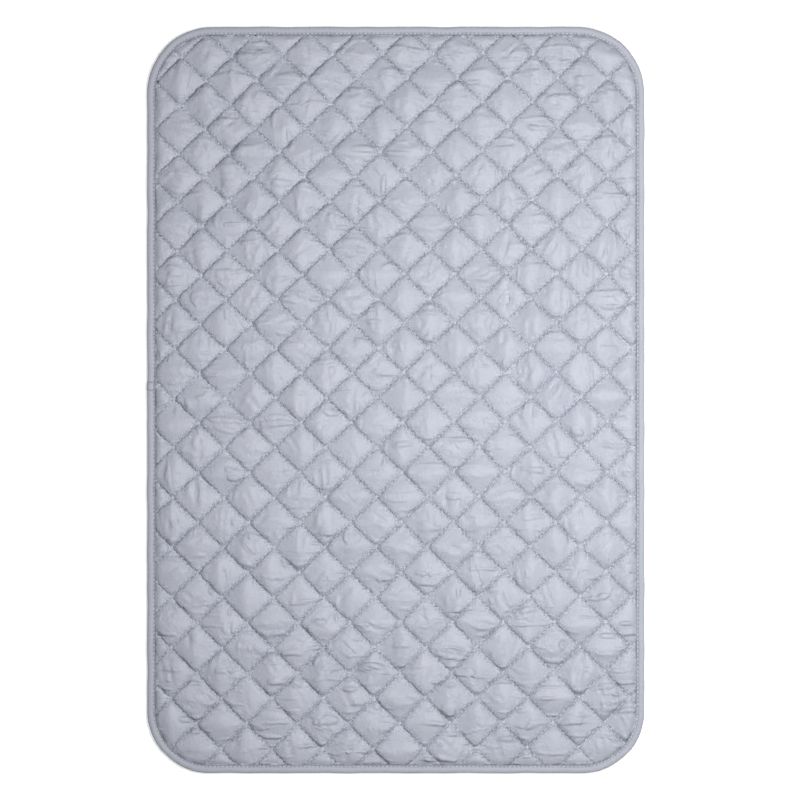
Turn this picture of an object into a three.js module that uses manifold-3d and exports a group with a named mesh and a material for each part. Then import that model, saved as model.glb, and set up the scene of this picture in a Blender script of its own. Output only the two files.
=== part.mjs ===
// A quilted ironing pad for a table top: face cloth, wadding and backing cloth quilted together in diamonds
// and bound all round with one folded tape. Sizes in millimetres, +Z up, +Y along the pad's length.
// The origin is the middle of the pad, on the table.
import * as THREE from "three";
import { mergeVertices } from "three/addons/utils/BufferGeometryUtils.js";
import Module from "manifold-3d";

// Outline of the pad over its binding
const padWidth = 400;
const padLength = 600;
const cornerRadius = 53;

// Diamonds between straight rows of stitches. The pad is cut from quilted cloth, so the crossing nearest
// to its middle is a little off it.
const diamondWidth = 40.95;
const diamondLength = 39.9;
const crossingX = -14.4;
const crossingY = 1;

// Plies and thread
const clothThickness = 0.35;
const pressedWadding = 0.8;
const faceLoft = 4.6;
const threadDiameter = 0.3;
const plyGap = 0.1;

// Binding: a tape with its raw edges turned under, folded over the edge of the plies and sewn through
const bindingFace = 7.2;
const tapePly = 0.3;
const foldRadius = 2.2;
const foldClearance = 0.3;
const bindingSeamInset = 1.7;
const lapLength = 6.2;
const lapCentreY = 11;
const pillowTuck = 1.4;

// Fineness of the curved outlines
const cornerSegments = 6;
const plySegments = 3;
const foldSegments = 8;
const threadSides = 6;

// Heights of the stack at the seams, from the table upward
const threadRadius = threadDiameter / 2;
const threadRoom = 2 * threadDiameter + 3 * plyGap;
const tapeThickness = 2 * tapePly;
const backSeam = tapeThickness + threadRoom;
const backInner = backSeam + clothThickness;
const waddingLow = backInner + plyGap;
const waddingHigh = waddingLow + pressedWadding;
const faceInner = waddingHigh + plyGap;
const faceSeam = faceInner + clothThickness;
const edgeTop = faceSeam + threadRoom + tapeThickness;
const edgeMiddle = edgeTop / 2;

// The pillows of the backing hang down until they touch the table.
const backLoft = backSeam;

// Distances inward from the pad's outer edge
const seamInset = bindingFace - bindingSeamInset;
const pillowInset = bindingFace - pillowTuck;
const cavityDepth = foldRadius - tapeThickness;
const cavityShare = (faceSeam - edgeMiddle) / (edgeMiddle - tapeThickness);
const plyInset = foldRadius - cavityDepth * Math.sqrt(1 - cavityShare ** 2) + foldClearance;
const turnInset = (plyInset + bindingFace) / 2;

// The height of a pillow's crown goes with the room round it. A cut this close to a crossing ends at it.
const diamondInradius = (diamondWidth * diamondLength) / (2 * Math.hypot(diamondWidth, diamondLength));
const crossingReach = 6;

const { Manifold, Mesh } = await startManifold();

async function startManifold() {
  const library = await Module();
  library.setup();
  return library;
}

function finish(name, geometry, colour, roughness) {
  const material = new THREE.MeshStandardMaterial({ color: colour, roughness, metalness: 0 });
  geometry.computeVertexNormals();
  const mesh = new THREE.Mesh(geometry, material);
  mesh.name = name;
  material.name = `${name}_finish`;
  return mesh;
}

function indexed(positions, indices) {
  const geometry = new THREE.BufferGeometry();
  geometry.setAttribute("position", new THREE.Float32BufferAttribute(positions, 3));
  geometry.setIndex(indices);
  return geometry;
}

// Corner points of the pad's outline moved inward, anticlockwise, with the same stations at every inset
function outline(inset, segments = cornerSegments) {
  const quadrants = [[1, 1], [-1, 1], [-1, -1], [1, -1]];
  const points = [];
  quadrants.forEach(([sideX, sideY], quadrant) => {
    const centreX = sideX * (padWidth / 2 - cornerRadius);
    const centreY = sideY * (padLength / 2 - cornerRadius);
    for (let step = 0; step <= segments; step += 1) {
      const angle = ((quadrant + step / segments) * Math.PI) / 2;
      const x = centreX + (cornerRadius - inset) * Math.cos(angle);
      const y = centreY + (cornerRadius - inset) * Math.sin(angle);
      points.push(new THREE.Vector2(x, y));
    }
  });
  return points;
}

// Distance of a point to the left of the line from one point to another
function leftOf(from, to, point) {
  const run = to.clone().sub(from);
  return run.cross(point.clone().sub(from)) / run.length();
}

// A polygon with everything to the right of one line cut off
function cutAlong(polygon, from, to) {
  const kept = [];
  polygon.forEach((start, index) => {
    const end = polygon[(index + 1) % polygon.length];
    const startSide = leftOf(from, to, start);
    const endSide = leftOf(from, to, end);
    if (startSide >= 0) {
      kept.push(start);
    }
    if (startSide >= 0 !== endSide >= 0) {
      kept.push(start.clone().lerp(end, startSide / (startSide - endSide)));
    }
  });
  return kept;
}

function cutTo(polygon, border) {
  const cut = (left, from, index) => cutAlong(left, from, border[(index + 1) % border.length]);
  return border.reduce(cut, polygon);
}

// The point where rising row b and falling row a cross
function crossing(a, b) {
  const x = crossingX + (diamondWidth * (a + b)) / 2;
  const y = crossingY + (diamondLength * (a - b)) / 2;
  return new THREE.Vector2(x, y);
}

function rowReach() {
  const across = (padWidth / 2 + Math.abs(crossingX)) / diamondWidth;
  const along = (padLength / 2 + Math.abs(crossingY)) / diamondLength;
  return Math.ceil(across + along) + 1;
}

// A diamond cut off under the binding's inner edge. It makes a pillow where three of its corners are left,
// and a smaller piece of a diamond stays flat.
function pillow(diamond, border) {
  const cell = cutTo(diamond, border);
  const kept = diamond.filter((corner) => cell.includes(corner));
  if (kept.length < 3) {
    return null;
  }
  const onCorner = (point) => kept.find((corner) => corner.distanceTo(point) < crossingReach) ?? point;
  const snapped = cell.map(onCorner);
  return snapped.filter((point, index) => point !== snapped[(index + 1) % snapped.length]);
}

function pillows() {
  const border = outline(pillowInset, plySegments);
  const reach = rowReach();
  const cells = [];
  for (let a = -reach; a < reach; a += 1) {
    for (let b = -reach; b < reach; b += 1) {
      const diamond = [crossing(a, b), crossing(a, b + 1), crossing(a + 1, b + 1), crossing(a + 1, b)];
      cells.push(pillow(diamond, border));
    }
  }
  return cells.filter((cell) => cell !== null);
}

function centroid(polygon) {
  const origin = polygon[0];
  const sum = new THREE.Vector2();
  let total = 0;
  for (let index = 1; index < polygon.length - 1; index += 1) {
    const first = polygon[index].clone().sub(origin);
    const second = polygon[index + 1].clone().sub(origin);
    const area = first.cross(second);
    total += area;
    sum.addScaledVector(first.add(second), area / 3);
  }
  return sum.divideScalar(total).add(origin);
}

function roomRound(point, polygon) {
  const distances = polygon.map((from, index) => leftOf(from, polygon[(index + 1) % polygon.length], point));
  return Math.min(...distances);
}

// Crown of a pillow as a share of that of a whole diamond
function crownOf(cell) {
  return roomRound(centroid(cell), cell) / diamondInradius;
}

// How round a triangle is: largest for equal sides, 0 or less where it is flat or turned over
function roundness(corners) {
  const [first, second, third] = corners;
  const squares = corners.map((from, side) => from.distanceToSquared(corners[(side + 1) % 3]));
  return (leftOf(first, second, third) * Math.sqrt(squares[0])) / Math.max(...squares);
}

// Whether a point lies in a triangle or on one of its sides, without being a corner of it
function covers(corners, point) {
  const within = (from, side) => leftOf(from, corners[(side + 1) % 3], point) > -1e-6;
  return !corners.includes(point) && corners.every(within);
}

// A polygon cut into triangles, the roundest ear first; every point on a straight side is kept.
function earTriangles(polygon) {
  const left = [...polygon];
  const triangles = [];
  while (left.length > 2) {
    const ears = left.map((tip, index) => [left.at(index - 1), tip, left[(index + 1) % left.length]]);
    const order = ears.map((ear, index) => [roundness(ear), index]).sort((one, two) => two[0] - one[0]);
    const free = ([, index]) => !left.some((point) => covers(ears[index], point));
    const [, tip] = order.find(free);
    triangles.push(ears[tip]);
    left.splice(tip, 1);
  }
  return triangles;
}

// The plan that all plies share: points, the crown of each point from 0 at a seam to 1, triangles, and the
// outer edge in order.
class QuiltPlan {
  constructor() {
    this.points = [];
    this.crowns = [];
    this.triangles = [];
    this.known = new Map();
    this.sides = new Map();
    pillows().forEach((cell) => this.addPillow(cell));
    this.addBorder();
  }

  addPoint(point, crown = 0) {
    const key = `${Math.round(point.x * 1000)} ${Math.round(point.y * 1000)}`;
    if (!this.known.has(key)) {
      this.known.set(key, this.points.length);
      this.points.push(point);
      this.crowns.push(crown);
    }
    return this.known.get(key);
  }

  addPillow(cell) {
    const ring = cell.map((point) => this.addPoint(point));
    const apex = this.addPoint(centroid(cell), crownOf(cell));
    ring.forEach((from, index) => {
      const to = ring[(index + 1) % ring.length];
      this.triangles.push([apex, from, to]);
      this.markSide(from, to);
    });
  }

  // Sides that no second pillow shares are left over as the border of the pillows.
  markSide(from, to) {
    if (!this.sides.delete(`${to} ${from}`)) {
      this.sides.set(`${from} ${to}`, [from, to]);
    }
  }

  pillowBorder() {
    const next = new Map(this.sides.values());
    const loop = [...next.keys()].slice(0, 1);
    while (loop.length < next.size) {
      loop.push(next.get(loop.at(-1)));
    }
    return loop;
  }

  // The flat margin, from the border of the pillows out to the cut edge of the plies under the binding
  addBorder() {
    const outer = outline(plyInset, plySegments);
    const inner = this.pillowBorder().map((id) => this.points[id]);
    const distances = inner.map((point) => point.distanceTo(outer[0]));
    const nearest = distances.indexOf(Math.min(...distances));
    const round = [...inner.slice(nearest), ...inner.slice(0, nearest + 1)].reverse();
    this.rim = outer.map((point) => this.addPoint(point));
    earTriangles([...outer, outer[0], ...round]).forEach((corners) => {
      this.triangles.push(corners.map((point) => this.addPoint(point)));
    });
  }
}

// One ply of the quilt between its lower and its upper surface, each given by the height of its seams and
// the rise of its crowns
function quiltedPly(plan, lower, upper) {
  const count = plan.points.length;
  const positions = [];
  [upper, lower].forEach((surface) => {
    plan.points.forEach((point, id) => {
      positions.push(point.x, point.y, surface.seam + surface.rise * plan.crowns[id]);
    });
  });
  const indices = [];
  plan.triangles.forEach(([first, second, third]) => {
    indices.push(first, second, third);
    indices.push(count + first, count + third, count + second);
  });
  plan.rim.forEach((from, index) => {
    const to = plan.rim[(index + 1) % plan.rim.length];
    indices.push(count + from, count + to, to);
    indices.push(count + from, to, from);
  });
  return indexed(positions, indices);
}

// A closed band round the pad with the given section; each section point is [distance inward, height].
function bandRound(section) {
  const loops = section.map(([inset, height]) => outline(inset).map(({ x, y }) => [x, y, height]));
  const stations = loops[0].length;
  const indices = [];
  loops.forEach((loop, row) => {
    const here = row * stations;
    const above = ((row + 1) % loops.length) * stations;
    loop.forEach((point, station) => {
      const ahead = (station + 1) % stations;
      indices.push(here + station, here + ahead, above + ahead);
      indices.push(here + station, above + ahead, above + station);
    });
  });
  return indexed(loops.flat(2), indices);
}

// The round of the binding's fold from one angle to another, a distance out from the tape's outer surface
function foldArc(offset, fromAngle, toAngle) {
  const points = [];
  for (let step = 0; step <= foldSegments; step += 1) {
    const angle = THREE.MathUtils.degToRad(fromAngle + ((toAngle - fromAngle) * step) / foldSegments);
    const inset = foldRadius - (foldRadius + offset) * Math.cos(angle);
    const height = edgeMiddle + (edgeMiddle + offset) * Math.sin(angle);
    points.push([inset, height]);
  }
  return points;
}

// The groove that the binding's stitches draw into the tape, wide at its mouth
function stitchGroove(surface, inward, order) {
  const floor = surface + inward * (threadDiameter + plyGap);
  const floorHalf = threadRadius + plyGap;
  const mouthHalf = floorHalf + threadDiameter + plyGap;
  const points = [[mouthHalf, surface], [floorHalf, floor], [-floorHalf, floor], [-mouthHalf, surface]];
  return points.map(([offset, height]) => [seamInset + order * offset, height]);
}

function bindingSection() {
  const lipRound = tapePly * 0.7;
  return [
    [bindingFace, 0],
    ...stitchGroove(0, 1, 1),
    ...foldArc(0, -90, 90),
    ...stitchGroove(edgeTop, -1, -1),
    [bindingFace - lipRound, edgeTop],
    [bindingFace, edgeTop - lipRound],
    [bindingFace, edgeTop - tapeThickness],
    ...foldArc(-tapeThickness, 90, -90),
    [bindingFace, tapeThickness],
  ];
}

// A strip of the lapped end of the tape on the left edge, as a slab with the given section
function lapSlab(section) {
  const shape = new THREE.Shape(section.map(([inset, height]) => new THREE.Vector2(inset, height)));
  const slab = new THREE.ExtrudeGeometry(shape, { depth: lapLength, bevelEnabled: false });
  slab.rotateX(Math.PI / 2);
  slab.translate(-padWidth / 2, lapCentreY + lapLength / 2, 0);
  return slab;
}

// The lapped end lies over the round of the fold and over the lip, one tape ply thick.
function bindingLap() {
  const sunk = -tapePly / 2;
  const mouth = threadRadius + threadDiameter + 2 * plyGap + tapePly;
  const rollEnd = seamInset - mouth;
  const lipStart = seamInset + mouth;
  const lipEnd = bindingFace - tapePly;
  const over = edgeTop + tapePly;
  const under = edgeTop + sunk;
  const outer = foldArc(tapePly, -40, 90);
  const inner = foldArc(sunk, 90, -40);
  const roll = [...outer, [rollEnd, over], [rollEnd, under], ...inner];
  const lip = [[lipStart, under], [lipEnd, under], [lipEnd, over], [lipStart, over]];
  return [lapSlab(roll), lapSlab(lip)];
}

function toSolid(geometry) {
  geometry.deleteAttribute("normal");
  geometry.deleteAttribute("uv");
  const merged = mergeVertices(geometry, 1e-4);
  const triVerts = new Uint32Array(merged.index.array);
  const mesh = new Mesh({ numProp: 3, vertProperties: merged.attributes.position.array, triVerts });
  return new Manifold(mesh);
}

function fromSolid(solid) {
  const mesh = solid.getMesh();
  return indexed(Array.from(mesh.vertProperties), Array.from(mesh.triVerts));
}

function edgeBinding() {
  const laps = bindingLap().map(toSolid);
  const joined = laps.reduce((tape, lap) => tape.add(lap), toSolid(bandRound(bindingSection())));
  return fromSolid(joined);
}

// Thread section: points on a circle, first one on top
function threadSection() {
  const points = [];
  for (let side = 0; side < threadSides; side += 1) {
    const angle = Math.PI / 2 + (2 * Math.PI * side) / threadSides;
    points.push([threadRadius * Math.cos(angle), threadRadius * Math.sin(angle)]);
  }
  return points;
}

function bindingThread(height) {
  return bandRound(threadSection().map(([across, up]) => [seamInset - across, height + up]));
}

// Where a straight line leaves the turn line under the binding: its two ends, each with its place along
// the line as side number plus share of that side
function rowEnds(start, end, border) {
  const ends = [];
  border.forEach((from, index) => {
    const to = border[(index + 1) % border.length];
    const startSide = leftOf(from, to, start);
    const endSide = leftOf(from, to, end);
    if (startSide < 0 === endSide < 0) {
      return;
    }
    const point = start.clone().lerp(end, startSide / (startSide - endSide));
    const share = point.clone().sub(from).length() / to.clone().sub(from).length();
    const inside = point.clone().sub(from).dot(to.clone().sub(from)) >= 0;
    if (inside && share < 1) {
      ends.push({ point, place: index + share, along: startSide < 0 ? 0 : 1 });
    }
  });
  return ends.sort((first, second) => first.along - second.along);
}

// Corners of the turn line passed on the short way from one place to another
function turnCorners(fromPlace, toPlace, border) {
  const count = border.length;
  const ahead = (toPlace - fromPlace + count) % count;
  const step = ahead < count / 2 ? 1 : -1;
  const distance = step > 0 ? ahead : count - ahead;
  const first = step > 0 ? Math.ceil(fromPlace) : Math.floor(fromPlace);
  const corners = [];
  for (let corner = first; Math.abs(corner - fromPlace) < distance; corner += step) {
    corners.push(border[(corner + count) % count]);
  }
  return corners;
}

// One thread's way: every row of its direction in turn, back and forth, turning under the binding
function threadRoute(rising) {
  const border = outline(turnInset);
  const visible = outline(bindingFace);
  const reach = rowReach();
  const route = [];
  let lastPlace = null;
  let forward = true;
  for (let row = -reach; row <= reach; row += 1) {
    const start = rising ? crossing(-2 * reach, row) : crossing(row, -2 * reach);
    const end = rising ? crossing(2 * reach, row) : crossing(row, 2 * reach);
    const ends = rowEnds(start, end, border);
    if (rowEnds(start, end, visible).length === 2 && ends.length === 2) {
      const [enter, leave] = forward ? ends : [ends[1], ends[0]];
      const corners = lastPlace === null ? [] : turnCorners(lastPlace, enter.place, border);
      route.push(...corners, enter.point, leave.point);
      lastPlace = leave.place;
      forward = !forward;
    }
  }
  const apart = (point, index) => index === 0 || point.distanceTo(route[index - 1]) > 4 * threadDiameter;
  return route.filter(apart);
}

// A thread laid along a flat route at one height, mitred at its turns
function threadAlong(route, height) {
  const section = threadSection();
  const positions = [];
  route.forEach((point, index) => {
    const before = point.clone().sub(route[Math.max(index - 1, 0)]).normalize();
    const after = route[Math.min(index + 1, route.length - 1)].clone().sub(point).normalize();
    const heading = before.clone().add(after).normalize();
    const share = Math.max(heading.dot(index === 0 ? after : before), 0.35);
    const left = new THREE.Vector2(-heading.y, heading.x).divideScalar(share);
    section.forEach(([across, up]) => {
      positions.push(point.x + left.x * across, point.y + left.y * across, height + up);
    });
  });
  const indices = [];
  for (let index = 0; index < route.length - 1; index += 1) {
    for (let side = 0; side < threadSides; side += 1) {
      const here = index * threadSides + side;
      const beside = index * threadSides + ((side + 1) % threadSides);
      indices.push(here, beside, beside + threadSides);
      indices.push(here, beside + threadSides, here + threadSides);
    }
  }
  const last = (route.length - 1) * threadSides;
  for (let side = 1; side < threadSides - 1; side += 1) {
    indices.push(0, side + 1, side);
    indices.push(last, last + side, last + side + 1);
  }
  return indexed(positions, indices);
}

function plies() {
  const plan = new QuiltPlan();
  const surface = (seam, rise) => ({ seam, rise });
  const face = quiltedPly(plan, surface(faceInner, faceLoft), surface(faceSeam, faceLoft));
  const wadding = quiltedPly(plan, surface(waddingLow, -backLoft), surface(waddingHigh, faceLoft));
  const backing = quiltedPly(plan, surface(backSeam, -backLoft), surface(backInner, -backLoft));
  return [
    finish("face_cloth", face, 0xbcbfcb, 0.6),
    finish("wadding", wadding, 0xeeece6, 0.95),
    finish("backing_cloth", backing, 0xc4c6cd, 0.85),
  ];
}

function quiltingThreads() {
  const rising = threadRoute(true);
  const falling = threadRoute(false);
  const first = plyGap + threadRadius;
  const second = first + threadDiameter + plyGap;
  const colour = 0xc8cad3;
  return [
    finish("needle_thread_rising", threadAlong(rising, faceSeam + first), colour, 0.5),
    finish("needle_thread_falling", threadAlong(falling, faceSeam + second), colour, 0.5),
    finish("bobbin_thread_rising", threadAlong(rising, backSeam - first), colour, 0.5),
    finish("bobbin_thread_falling", threadAlong(falling, backSeam - second), colour, 0.5),
  ];
}

function boundEdge() {
  return [
    finish("edge_binding", edgeBinding(), 0xb9bcc8, 0.65),
    finish("binding_needle_thread", bindingThread(edgeTop - threadRadius), 0xc8cad3, 0.5),
    finish("binding_bobbin_thread", bindingThread(threadRadius), 0xc8cad3, 0.5),
  ];
}

const pad = new THREE.Group();
pad.name = "quilted_ironing_pad";
pad.add(...plies(), ...quiltingThreads(), ...boundEdge());

export default pad;
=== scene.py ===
"""Quilted ironing pad, dressed for the camera.

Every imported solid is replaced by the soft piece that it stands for: two quilted cloths that are
simulated pillow by pillow, the wadding between them, a folded tape round the edge, and stitches.
Sizes in the classes are in millimetres, and the finished meshes are in metres.
"""

import logging
import math
from dataclasses import dataclass
from enum import Enum
from functools import partial
from typing import Any

import bpy
import numpy as np
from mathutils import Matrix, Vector


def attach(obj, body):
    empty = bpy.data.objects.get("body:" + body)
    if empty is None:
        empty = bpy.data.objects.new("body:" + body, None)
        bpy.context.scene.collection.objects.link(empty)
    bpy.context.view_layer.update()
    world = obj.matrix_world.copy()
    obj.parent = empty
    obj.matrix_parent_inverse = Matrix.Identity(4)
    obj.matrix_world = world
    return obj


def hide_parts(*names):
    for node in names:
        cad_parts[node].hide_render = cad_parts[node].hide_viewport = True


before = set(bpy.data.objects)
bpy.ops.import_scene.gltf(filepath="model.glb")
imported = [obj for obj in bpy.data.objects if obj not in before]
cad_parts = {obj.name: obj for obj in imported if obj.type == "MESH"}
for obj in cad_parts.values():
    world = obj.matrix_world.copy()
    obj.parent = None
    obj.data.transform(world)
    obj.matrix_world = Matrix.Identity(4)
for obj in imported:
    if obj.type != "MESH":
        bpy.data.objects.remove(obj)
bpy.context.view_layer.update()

LOG = logging.getLogger("ironing_pad")
MM = 0.001
BODY = "root"
WHITE = "ffffff"

Points = np.ndarray
Faces = list[list[int]]

# Kinds of node that are used more than once
BUMP = "ShaderNodeBump"
COMBINE = "ShaderNodeCombineXYZ"
MAP_RANGE = "ShaderNodeMapRange"
MATH = "ShaderNodeMath"
MIX = "ShaderNodeMix"
NOISE = "ShaderNodeTexNoise"
RANDOM = "FunctionNodeRandomValue"
SEPARATE = "ShaderNodeSeparateXYZ"
SMOOTH = "GeometryNodeSetShadeSmooth"
TUBE = "GeometryNodeCurveToMesh"
VECTOR_MATH = "ShaderNodeVectorMath"


class Side(Enum):
    """The side of the pad that a piece lies on; the value is the way its pillows swell."""

    FACE = 1
    BACK = -1


class Rows(Enum):
    """The two directions of the quilting rows, seen from above."""

    RISING = "rising"
    FALLING = "falling"


class Fold(Enum):
    """How the spare cloth of a pillow folds; the value is the angle across the folds."""

    UPRIGHT = 0.0
    LEVEL = math.pi / 2


def linear(hex_colour: str) -> tuple[float, float, float, float]:
    """Turns an sRGB colour into linear light.

    Args:
        hex_colour: six hex digits.

    Returns:
        Red, green and blue in linear light, and an alpha of 1.
    """
    parts = [int(hex_colour[i : i + 2], 16) / 255 for i in (0, 2, 4)]
    red, green, blue = (c / 12.92 if c <= 0.04045 else ((c + 0.055) / 1.055) ** 2.4 for c in parts)
    return red, green, blue, 1.0


def add_node(
    tree: bpy.types.NodeTree, kind: str, inputs: dict[str | int, Any] | None = None, **settings: Any
) -> bpy.types.Node:
    """Adds a node to a tree.

    Args:
        tree: the shader or geometry tree.
        kind: Blender's name of the node type.
        inputs: what each input takes, by name or number: a socket or the first open output of a node
            is linked, and a value is set.
        settings: properties of the node.

    Returns:
        The new node.
    """
    node = tree.nodes.new(kind)
    for name, value in settings.items():
        setattr(node, name, value)
    for socket, value in (inputs or {}).items():
        if isinstance(value, bpy.types.Node):
            value = next(output for output in value.outputs if output.enabled)
        if isinstance(value, bpy.types.NodeSocket):
            tree.links.new(value, node.inputs[socket])
        else:
            node.inputs[socket].default_value = value
    return node


def new_material(name: str, values: dict[str, Any]) -> tuple[bpy.types.Material, bpy.types.Node]:
    """Starts a material.

    Args:
        name: the material's name.
        values: what the shader's own sockets take.

    Returns:
        The material and its shader.
    """
    made = bpy.data.materials.new(name)
    made.use_nodes = True
    surface = made.node_tree.nodes["Principled BSDF"]
    for socket, value in values.items():
        surface.inputs[socket].default_value = value
    return made, surface


def link_object(name: str, data: bpy.types.ID) -> bpy.types.Object:
    """Puts a mesh, curve, light or camera into the scene.

    Args:
        name: the object's name.
        data: what it shows.

    Returns:
        The object, at the origin.
    """
    placed = bpy.data.objects.new(name, data)
    bpy.context.scene.collection.objects.link(placed)
    return placed


def make_piece(name: str, points: Points, faces: Faces, material: bpy.types.Material) -> bpy.types.Object:
    """Makes a smooth mesh object.

    Args:
        name: the piece's name.
        points: its corners, in millimetres.
        faces: the corners of each face, counter-clockwise from outside.
        material: its finish.

    Returns:
        The piece.
    """
    mesh = bpy.data.meshes.new(name)
    mesh.from_pydata((points * MM).tolist(), [], faces)
    mesh.polygons.foreach_set("use_smooth", np.ones(len(mesh.polygons), bool))
    mesh.materials.append(material)
    mesh.validate()
    return link_object(name, mesh)


def fit_piece(piece: bpy.types.Object, node: str) -> bpy.types.Object:
    """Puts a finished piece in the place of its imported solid.

    Args:
        piece: the finished piece.
        node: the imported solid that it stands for.

    Returns:
        The same piece.
    """
    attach(piece, BODY)
    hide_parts(node)
    triangles = sum(len(face.vertices) - 2 for face in piece.data.polygons)
    LOG.info("%s stands for %s: %d triangles", piece.name, node, triangles)
    return piece


# Finishes


@dataclass(frozen=True)
class WovenFinish:
    """A plain-woven cotton: colours, gloss, and the sizes and depths of its weave and folds in mm.

    The cleft colour is painted shade: it darkens seam clefts, needle holes, the tape's rim and lap ends
    where the mesh's cleft shade attribute marks them. Fine puckers, their crests painted paler as a glint,
    show where its `pucker` attribute marks cloth that a seam draws together.
    """

    name: str
    colour: str
    shade: str
    cleft: str
    roughness: float
    sheen: float
    thread: float
    weave_depth: float
    crumple: float
    crumple_depth: float
    fold: float
    fold_depth: float
    pucker_depth: float
    crest_glint: float
    pucker: float = 1.3
    fleck: float = 1.6
    fleck_share: float = 0.9
    blotch: float = 28.0
    fold_patch: float = 21.0
    fold_stretch: float = 0.18

    def material(self) -> bpy.types.Material:
        """Builds the material on Object coordinates.

        Returns:
            The material.
        """
        made, surface = new_material(
            self.name, {"Roughness": self.roughness, "Sheen Weight": self.sheen, "Sheen Roughness": 0.5}
        )
        tree = made.node_tree
        add = partial(add_node, tree)
        place = add("ShaderNodeTexCoord").outputs["Object"]
        painted_shade, drawn = (
            add("ShaderNodeAttribute", attribute_name=mark).outputs["Fac"] for mark in ("cleft", "pucker")
        )
        # A band of the wave texture is a tenth of pi wide at scale 1.
        band = math.pi / 10 / (self.thread * MM)
        threads = {"Vector": place, "Scale": band, "Distortion": 0.6, "Detail": 1.0}
        warp, weft = (
            add("ShaderNodeTexWave", threads, wave_type="BANDS", bands_direction=axis).outputs["Fac"]
            for axis in ("X", "Y")
        )
        weave = add(MATH, {0: warp, 1: weft}, operation="MULTIPLY")
        grains = ((self.crumple, 4.0), (self.blotch, 3.0), (self.fleck, 2.0), (self.pucker, 2.0))
        crumple, blotch, fleck, pinch = (
            add(NOISE, {"Vector": place, "Scale": 1 / (size * MM), "Detail": detail})
            for size, detail in grains
        )
        level = add(MATH, {0: pinch, 1: 0.5}, operation="SUBTRACT")
        pinched = add(MATH, {0: level, 1: drawn}, operation="MULTIPLY")
        lowest = -self.fleck_share / 2
        spread = add(MATH, {0: fleck, 1: self.fleck_share, 2: lowest}, operation="MULTIPLY_ADD")
        mixed = add(MATH, {0: blotch, 1: spread}, operation="ADD", use_clamp=True)
        tone = add(MIX, {0: mixed, 6: linear(self.shade), 7: linear(self.colour)}, data_type="RGBA")
        # Painted glint: the crests of the puckers are painted paler than the hollows between them.
        glint_gain = add(MATH, {0: pinched, 1: self.crest_glint, 2: 1.0}, operation="MULTIPLY_ADD")
        glinted_tone = add(VECTOR_MATH, {0: tone, "Scale": glint_gain}, operation="SCALE")
        # Painted shade: the cleft colour is mixed in where the mesh marks clefts, needle holes and rims.
        dressed = add(MIX, {0: painted_shade, 6: glinted_tone, 7: linear(self.cleft)}, data_type="RGBA")
        tree.links.new(dressed.outputs[2], surface.inputs["Base Color"])
        layers = (
            (self.fold_depth, self.folds(tree, place, drawn)),
            (self.crumple_depth, crumple),
            (self.pucker_depth, pinched),
            (self.weave_depth, weave),
        )
        under: dict[str, bpy.types.Node] = {}
        for depth, height in layers:
            layer = {"Strength": 1.0, "Distance": depth * MM, "Height": height}
            under = {"Normal": add(BUMP, layer | under)}
        tree.links.new(under["Normal"].outputs[0], surface.inputs["Normal"])
        return made

    def folds(
        self, tree: bpy.types.NodeTree, place: bpy.types.NodeSocket, drawn: bpy.types.NodeSocket
    ) -> bpy.types.Node:
        """Adds short, scattered folds that run across in some places and along in others.

        Args:
            tree: the material's tree.
            place: the Object coordinates.
            drawn: how much a seam draws the cloth together, which is 1 on the seam.

        Returns:
            The node that gives the height of the folds, from 0 to 1.35.
        """
        add = partial(add_node, tree)
        noise = add(NOISE, {"Vector": place, "Scale": 1 / (self.fold_patch * MM), "Detail": 1.0})
        # The two ends of the pad are more creased than its middle, the lower end most of all.
        length = add(SEPARATE, {0: place}).outputs["Y"]
        lean = add(MATH, {0: length, 1: 1.2, 2: -0.12}, operation="MULTIPLY_ADD")
        patches = add(MATH, {0: length, 1: lean, 2: noise}, operation="MULTIPLY_ADD")
        kinds = (
            (Fold.LEVEL, (self.fold_stretch, 1.0, 1.0), (0.48, 0.6)),
            (Fold.UPRIGHT, (1.0, self.fold_stretch, 1.0), (0.44, 0.32)),
        )
        heights = []
        for fold, drawn_out, (none, full) in kinds:
            along = add(VECTOR_MATH, {0: place, 1: drawn_out}, operation="MULTIPLY")
            waves = {"Vector": along, "Scale": 1 / (self.fold * MM), "Detail": 0.0}
            lines = add(NOISE, waves, label=fold.name)
            ridge, where = (
                add(MAP_RANGE, {0: given, 1: low, 2: high}, interpolation_type="SMOOTHSTEP")
                for given, low, high in ((lines, 0.5, 0.82), (patches, none, full))
            )
            heights.append(add(MATH, {0: ridge, 1: where}, operation="MULTIPLY"))
        both = add(MATH, dict(enumerate(heights)), operation="ADD")
        lower = add(MAP_RANGE, {0: length, 1: -0.06, 2: -0.24, 3: 1.0, 4: 1.35})
        deeper = add(MATH, {0: both, 1: lower}, operation="MULTIPLY")
        # A fold ends at the seams.
        close = add(MATH, {0: drawn, 1: 3.0}, operation="POWER")
        away = add(MATH, {0: 1.0, 1: close}, operation="SUBTRACT")
        return add(MATH, {0: deeper, 1: away}, operation="MULTIPLY")


@dataclass(frozen=True)
class FibreFinish:
    """Loose or twisted polyester fibre: wadding and sewing thread."""

    name: str
    colour: str
    shade: str
    roughness: float
    sheen: float
    fibre: float
    depth: float

    def material(self) -> bpy.types.Material:
        """Builds the material on Object coordinates.

        Returns:
            The material.
        """
        made, surface = new_material(self.name, {"Roughness": self.roughness, "Sheen Weight": self.sheen})
        tree = made.node_tree
        add = partial(add_node, tree)
        place = add("ShaderNodeTexCoord").outputs["Object"]
        fineness = 1 / (self.fibre * MM)
        strands = add(NOISE, {"Vector": place, "Scale": fineness, "Detail": 3.0, "Distortion": 1.5})
        tone = add(MIX, {0: strands, 6: linear(self.shade), 7: linear(self.colour)}, data_type="RGBA")
        tree.links.new(tone.outputs[2], surface.inputs["Base Color"])
        raised = add(BUMP, {"Strength": 1.0, "Distance": self.depth * MM, "Height": strands})
        tree.links.new(raised.outputs[0], surface.inputs["Normal"])
        return made


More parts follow.
